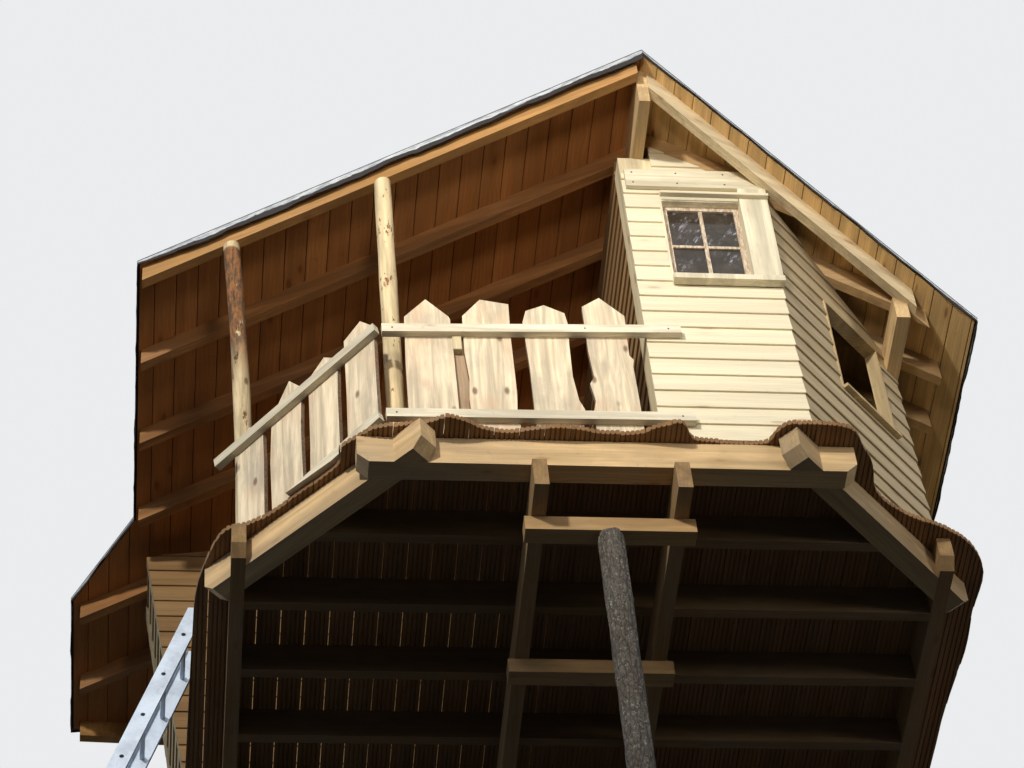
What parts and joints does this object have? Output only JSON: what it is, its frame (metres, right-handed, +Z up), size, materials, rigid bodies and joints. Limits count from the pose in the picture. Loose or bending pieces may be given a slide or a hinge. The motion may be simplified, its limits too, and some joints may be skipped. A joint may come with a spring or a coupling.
{
  "type": "tree house",
  "caption": "Timber tree house on a raised platform, with a covered open deck, a boarded cabin, a lopsided felted roof, slab-board railings, log posts and a leaning ladder.",
  "frame": {"origin": "middle of the prop log's foot, at the height of the ladder's feet", "axes": "+Z up, -Y towards the front with the window, +X to the right seen from the front"},
  "size_m": [5.8101, 5.826, 6.6],
  "materials": {
    "weathered_log": "grey bark with lichen, matte",
    "beam_timber": "sawn, yellow-tan, matte",
    "decking": "grooved boards, matte",
    "rail_timber": "sawn, pale yellow, matte",
    "slab_boards": "pale slab boards with pink and grey tone, matte",
    "peeled_log": "peeled log with bark remains, matte",
    "roof_timber": "sawn, matte",
    "roof_boards": "orange-brown boards, matte",
    "roof_felt": "black mineral felt, rough",
    "siding": "lapped boards, pale yellow, matte",
    "trim": "sawn, pale yellow, matte",
    "sash_paint": "weathered brown and white, matte",
    "window_glass": "clear, glossy",
    "brown_lining": "deep brown, matte",
    "ladder_metal": "dull, pale blue-grey"
  },
  "bodies": {
    "root": {"prop_log": "weathered_log", "cross_beams": "beam_timber", "main_beams": "beam_timber", "front_ring_beam": "beam_timber", "left_front_ring_beam": "beam_timber", "left_ring_beam": "beam_timber", "back_ring_beam": "beam_timber", "right_ring_beam": "beam_timber", "right_front_ring_beam": "beam_timber", "back_corner_ring_beams": "beam_timber", "floor_joists": "beam_timber", "deck": "decking", "front_rails": "rail_timber", "left_rails": "rail_timber", "front_slab_boards": "slab_boards", "left_slab_boards": "slab_boards", "corner_log_post": "peeled_log", "left_log_post": "peeled_log", "ridge_post": "rail_timber", "ridge_beam": "roof_timber", "right_wall_plate": "roof_timber", "left_rafters": "roof_timber", "right_rafters": "roof_timber", "verge_rafters": "roof_timber", "left_sheathing": "roof_boards", "right_sheathing": "roof_boards", "left_roof_felt": "roof_felt", "right_roof_felt": "roof_felt", "front_wall": "siding", "frieze_board": "trim", "window_casing": "trim", "window_sash": "sash_paint", "window_glass": "window_glass", "right_front_wall": "siding", "hatch_lining": "brown_lining", "right_wall": "siding", "back_right_wall": "siding", "back_wall": "siding", "back_left_wall": "siding", "rear_left_wall": "siding", "rear_front_wall": "siding", "deck_wall": "siding", "deck_wall_lintel": "siding", "ladder_stiles": "ladder_metal", "ladder_rungs": "ladder_metal"}
  },
  "joints": []
}
